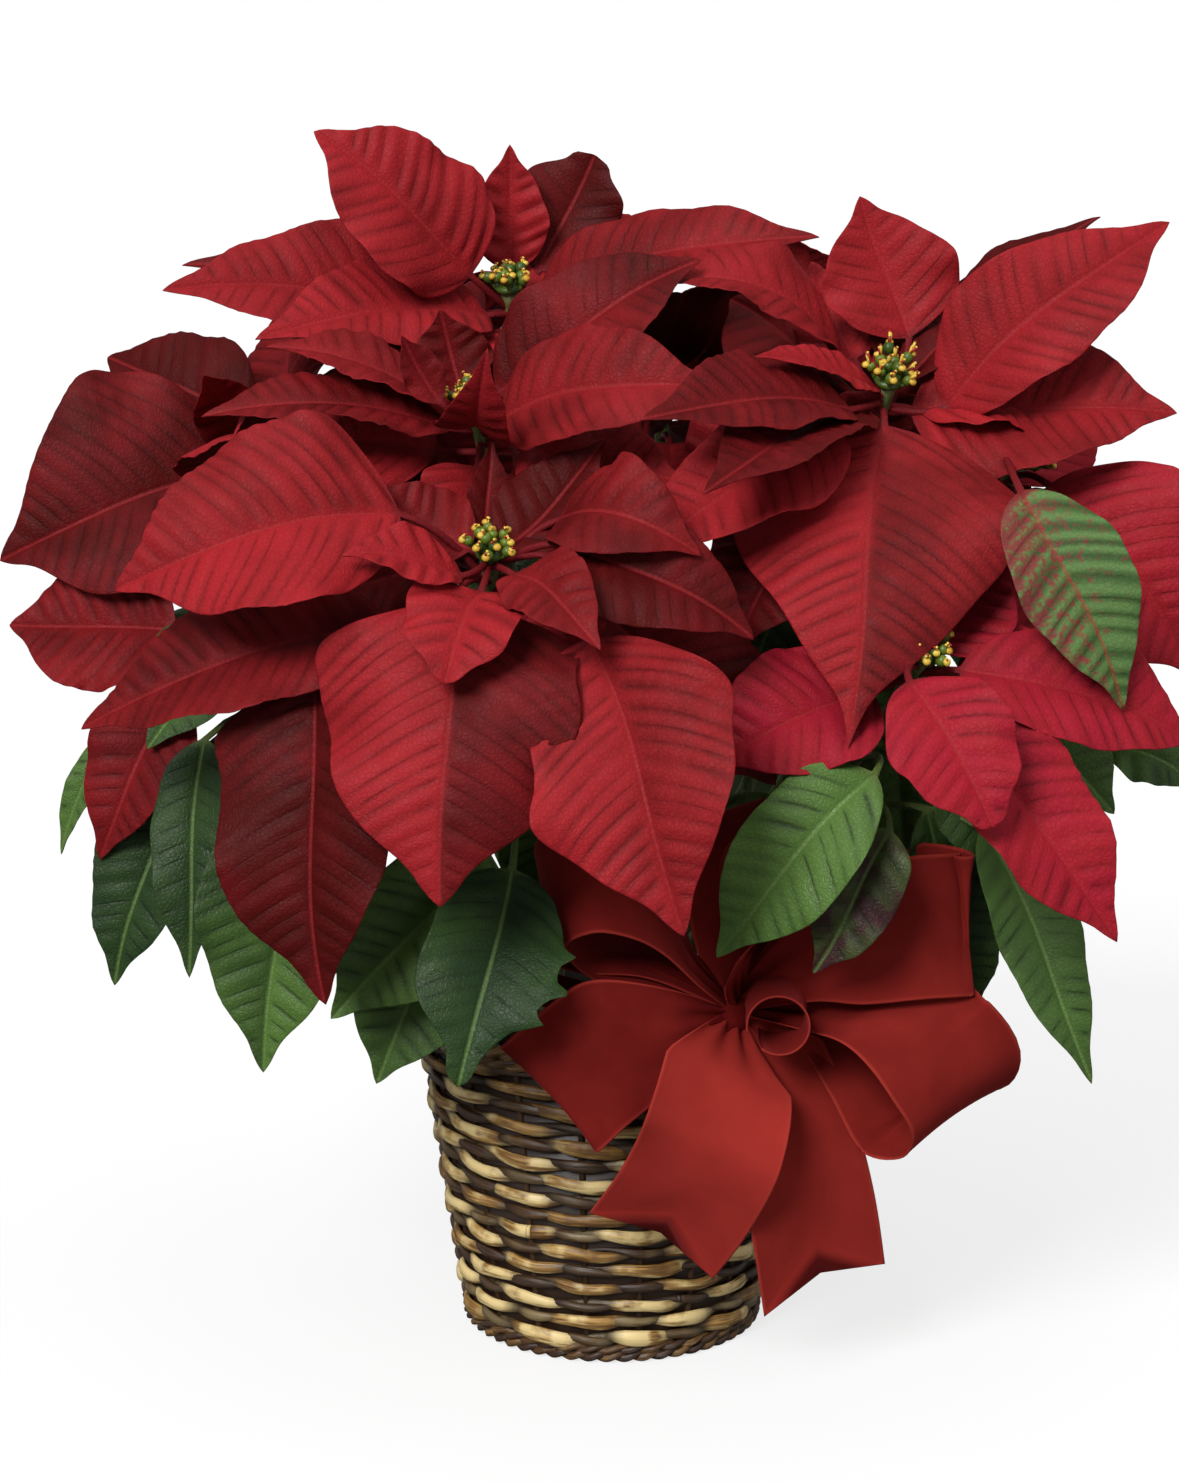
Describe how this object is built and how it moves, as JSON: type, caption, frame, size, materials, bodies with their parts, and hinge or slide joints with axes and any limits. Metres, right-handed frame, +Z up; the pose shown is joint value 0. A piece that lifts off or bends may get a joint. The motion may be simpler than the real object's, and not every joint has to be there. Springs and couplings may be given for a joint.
{
  "type": "potted poinsettia",
  "caption": "Potted poinsettia with layered dark red blooms and green leaves, standing in a woven basket with a wide velvet ribbon bow on the front.",
  "frame": {"origin": "centre of the basket's flat base, on the surface that it stands on", "axes": "+Z up, -Y towards the front where the bow is, +X to the right seen from the front"},
  "size_m": [0.5214, 0.428, 0.5355],
  "materials": {
    "bracts": "satin",
    "flowers": "satin",
    "leaves": "satin",
    "basket": "satin",
    "pot": "matte",
    "soil": "matte",
    "ribbon": "velvet",
    "wire": "satin"
  },
  "bodies": {
    "root": {"basket": "basket", "grow_pot": "pot", "soil": "soil", "ribbon_bow": "ribbon", "bow_wire": "wire", "leafy_stem_front": "leaves", "leafy_stem_right": "leaves", "leafy_stem_back": "leaves", "bloom_front_bracts": "bracts", "bloom_right_bracts": "bracts", "bloom_lower_right_bracts": "bracts", "bloom_upper_left_bracts": "bracts", "bloom_centre_left_bracts": "bracts", "bloom_far_left_bracts": "bracts", "bloom_right_edge_bracts": "bracts", "bloom_back_bracts": "bracts", "bloom_back_left_bracts": "bracts", "bloom_back_right_bracts": "bracts", "bloom_front_flowers": "flowers", "bloom_right_flowers": "flowers", "bloom_lower_right_flowers": "flowers", "bloom_upper_left_flowers": "flowers", "bloom_centre_left_flowers": "flowers", "bloom_far_left_flowers": "flowers", "bloom_right_edge_flowers": "flowers", "bloom_back_flowers": "flowers", "bloom_back_left_flowers": "flowers", "bloom_back_right_flowers": "flowers"}
  },
  "joints": []
}
